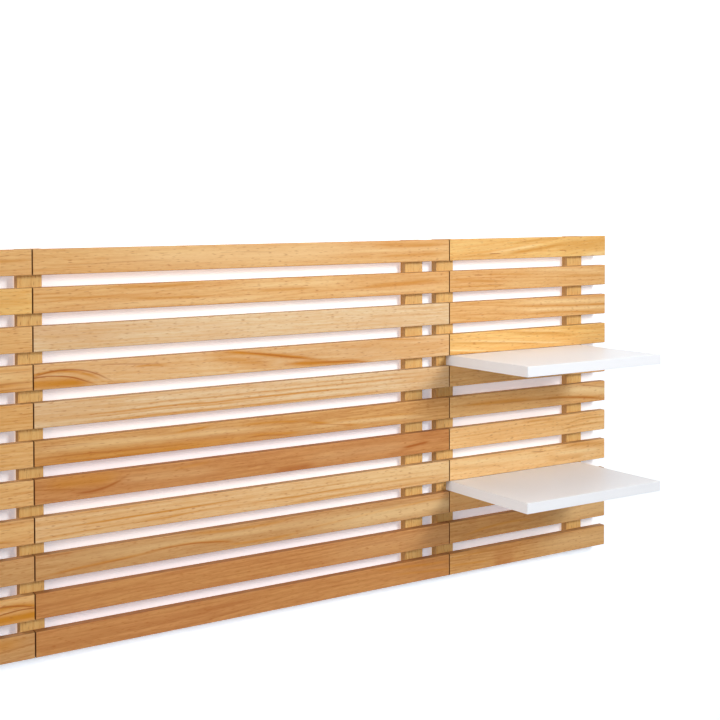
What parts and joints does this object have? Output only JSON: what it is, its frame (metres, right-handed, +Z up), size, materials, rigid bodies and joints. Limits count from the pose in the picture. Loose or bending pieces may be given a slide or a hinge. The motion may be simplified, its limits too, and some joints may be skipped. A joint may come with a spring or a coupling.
{
  "type": "slatted headboard with shelves",
  "caption": "Wall-hung headboard of horizontal pine slats on upright battens, in side and centre panels, with white bedside shelves held in the gaps between slats.",
  "frame": {"origin": "on the wall plane, behind the middle joint batten, at half the headboard's height", "axes": "+X along the wall to the right as seen from the bed, +Y into the wall, +Z up; the front faces -Y"},
  "size_m": [2.4106, 0.2613, 0.646],
  "materials": {
    "pine_slat": "satin clear lacquer",
    "pine_batten": "satin clear lacquer",
    "white_board": "satin white",
    "zinc_steel": "zinc plated"
  },
  "bodies": {
    "root": {"left_side_slat_1": "pine_slat", "left_side_slat_2": "pine_slat", "left_side_slat_3": "pine_slat", "left_side_slat_4": "pine_slat", "left_side_slat_5": "pine_slat", "left_side_slat_6": "pine_slat", "left_side_slat_7": "pine_slat", "left_side_slat_8": "pine_slat", "left_side_slat_9": "pine_slat", "left_side_slat_10": "pine_slat", "left_side_slat_11": "pine_slat", "left_centre_slat_1": "pine_slat", "left_centre_slat_2": "pine_slat", "left_centre_slat_3": "pine_slat", "left_centre_slat_4": "pine_slat", "left_centre_slat_5": "pine_slat", "left_centre_slat_6": "pine_slat", "left_centre_slat_7": "pine_slat", "left_centre_slat_8": "pine_slat", "left_centre_slat_9": "pine_slat", "left_centre_slat_10": "pine_slat", "left_centre_slat_11": "pine_slat", "right_centre_slat_1": "pine_slat", "right_centre_slat_2": "pine_slat", "right_centre_slat_3": "pine_slat", "right_centre_slat_4": "pine_slat", "right_centre_slat_5": "pine_slat", "right_centre_slat_6": "pine_slat", "right_centre_slat_7": "pine_slat", "right_centre_slat_8": "pine_slat", "right_centre_slat_9": "pine_slat", "right_centre_slat_10": "pine_slat", "right_centre_slat_11": "pine_slat", "right_side_slat_1": "pine_slat", "right_side_slat_2": "pine_slat", "right_side_slat_3": "pine_slat", "right_side_slat_4": "pine_slat", "right_side_slat_5": "pine_slat", "right_side_slat_6": "pine_slat", "right_side_slat_7": "pine_slat", "right_side_slat_8": "pine_slat", "right_side_slat_9": "pine_slat", "right_side_slat_10": "pine_slat", "right_side_slat_11": "pine_slat", "left_end_batten": "pine_batten", "left_joint_batten": "pine_batten", "left_outer_batten": "pine_batten", "left_inner_batten": "pine_batten", "middle_joint_batten": "pine_batten", "right_outer_batten": "pine_batten", "right_joint_batten": "pine_batten", "right_end_batten": "pine_batten", "left_upper_shelf": "white_board", "left_lower_shelf": "white_board", "right_upper_shelf": "white_board", "right_lower_shelf": "white_board", "slat_screws": "zinc_steel", "shelf_screws": "zinc_steel", "hanger_plates": "zinc_steel", "hanger_screws": "zinc_steel"}
  },
  "joints": []
}
